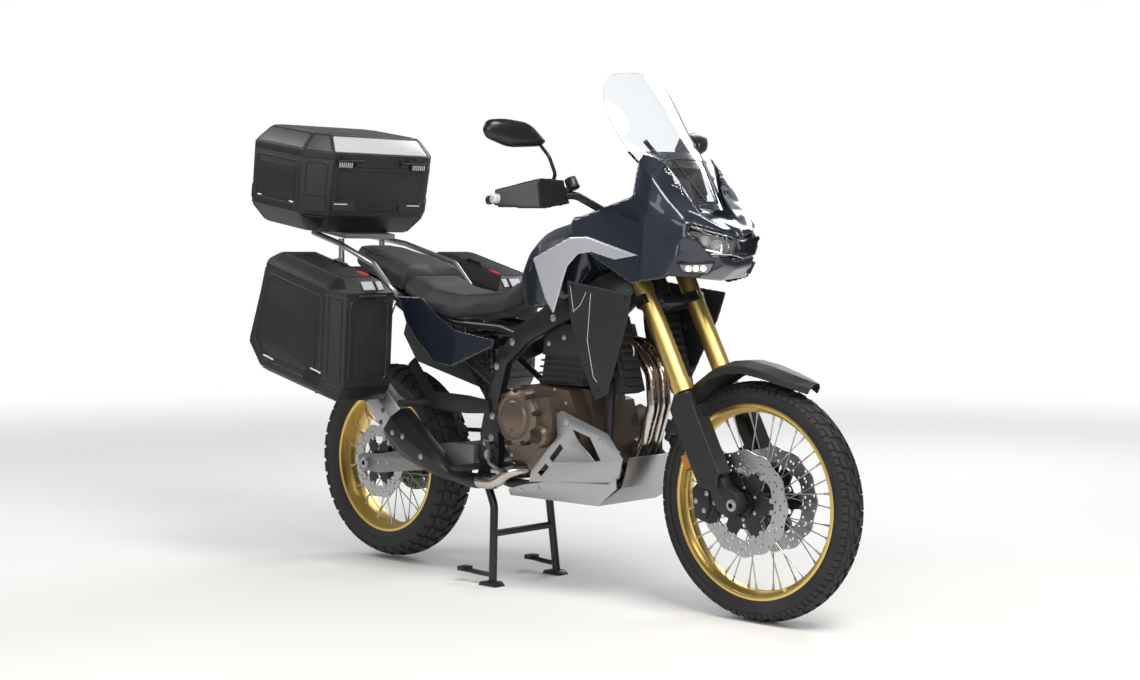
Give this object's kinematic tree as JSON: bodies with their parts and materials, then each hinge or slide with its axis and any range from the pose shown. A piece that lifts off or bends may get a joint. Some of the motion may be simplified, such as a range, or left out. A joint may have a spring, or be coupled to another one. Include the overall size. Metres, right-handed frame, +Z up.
{
  "type": "adventure motorcycle",
  "caption": "Tall touring motorcycle with wire wheels, screen, hard side cases and a top case, held upright on its centre stand; wheels, steering, stands and case lids move.",
  "frame": {"origin": "on the ground below the middle of the bounding box", "axes": "+X forward, +Y to the rider's left, +Z up"},
  "size_m": [2.4363, 1.012, 1.6],
  "materials": {
    "navy_paint": "gloss",
    "silver_paint": "satin metallic",
    "frame_paint": "satin",
    "black_plastic": "textured",
    "case_plastic": "textured",
    "engine_metal": "satin",
    "cast_metal": "cast",
    "bright_alloy": "brushed",
    "gold_alloy": "anodised satin",
    "steel": "brushed",
    "chrome_pipe": "polished",
    "black_metal": "semi-gloss",
    "rubber": "matte",
    "tyre": "matte",
    "seat_cover": "grained",
    "screen": "clear tinted",
    "lamp_lens": "clear",
    "tail_lens": "clear red"
  },
  "bodies": {
    "chassis": {"chain": "steel", "crankcase": "engine_metal", "cylinder_head": "engine_metal", "dash": "black_plastic", "exhaust_headers": "chrome_pipe", "foot_controls": "bright_alloy", "footrests": "cast_metal", "front_cowl": "navy_paint", "fuel_tank": "navy_paint", "headlamp": "lamp_lens", "left_case_body": "case_plastic", "luggage_rack": "bright_alloy", "main_frame": "frame_paint", "passenger_seat": "seat_cover", "pivot_bolt": "steel", "radiators": "cast_metal", "rear_axle": "steel", "rear_caliper": "black_metal", "rear_shock": "steel", "rider_seat": "seat_cover", "right_case_body": "case_plastic", "side_covers": "navy_paint", "side_shrouds": "black_plastic", "silencer": "black_metal", "silencer_end": "bright_alloy", "skid_plate": "bright_alloy", "subframe": "frame_paint", "swingarm": "cast_metal", "tail_lamps": "tail_lens", "tail_section": "black_plastic", "tank_panels": "silver_paint", "top_case_body": "case_plastic", "windscreen": "screen"},
    "steering": {"fork_tubes": "gold_alloy", "fork_legs": "black_metal", "triple_clamps": "black_metal", "front_axle": "steel", "handlebar": "black_metal", "grips": "rubber", "hand_controls": "black_metal", "handguards": "black_plastic", "mirrors": "black_plastic", "front_fender": "black_plastic", "fork_guards": "black_plastic", "front_calipers": "black_metal"},
    "front_wheel": {"front_tyre": "tyre", "front_rim": "gold_alloy", "front_hub": "black_metal", "front_discs": "steel"},
    "rear_wheel": {"rear_tyre": "tyre", "rear_rim": "gold_alloy", "rear_hub": "black_metal", "rear_disc": "steel", "rear_sprocket": "steel"},
    "centre_stand": {"centre_stand": "black_metal"},
    "side_stand": {"side_stand": "black_metal"},
    "top_case_lid": {"top_case_lid": "case_plastic"},
    "right_case_lid": {"right_case_lid": "case_plastic"},
    "left_case_lid": {"left_case_lid": "case_plastic"}
  },
  "joints": [
    {"name": "steering", "type": "hinge", "parent": "chassis", "child": "steering", "pos_m": [0.46842, 0, 0.99079], "axis": [-0.4617, 0, 0.887], "range_deg": [-40, 40]},
    {"name": "front_wheel_spin", "type": "hinge", "parent": "steering", "child": "front_wheel", "pos_m": [0.8712, 0, 0.347], "axis": [0, 1, 0], "continuous": true},
    {"name": "rear_wheel_spin", "type": "hinge", "parent": "chassis", "child": "rear_wheel", "pos_m": [-0.71381, 0, 0.343], "axis": [0, 1, 0], "continuous": true},
    {"name": "centre_stand_fold", "type": "hinge", "parent": "chassis", "child": "centre_stand", "pos_m": [-0.12881, 0, 0.322], "axis": [0, 1, 0], "range_deg": [0, 72]},
    {"name": "side_stand_swing", "type": "hinge", "parent": "chassis", "child": "side_stand", "pos_m": [-0.0458, 0.15, 0.333], "axis": [0, -0.9063, -0.4226], "range_deg": [0, 105]},
    {"name": "top_case_lid_hinge", "type": "hinge", "parent": "chassis", "child": "top_case_lid", "pos_m": [-0.77749, 0, 1.37165], "axis": [0, 1, 0], "range_deg": [0, 85]},
    {"name": "right_case_lid_hinge", "type": "hinge", "parent": "chassis", "child": "right_case_lid", "pos_m": [-0.44595, -0.335, 0.91864], "axis": [0, 1, 0], "range_deg": [0, 80]},
    {"name": "left_case_lid_hinge", "type": "hinge", "parent": "chassis", "child": "left_case_lid", "pos_m": [-0.44595, 0.335, 0.91864], "axis": [0, 1, 0], "range_deg": [0, 80]}
  ]
}
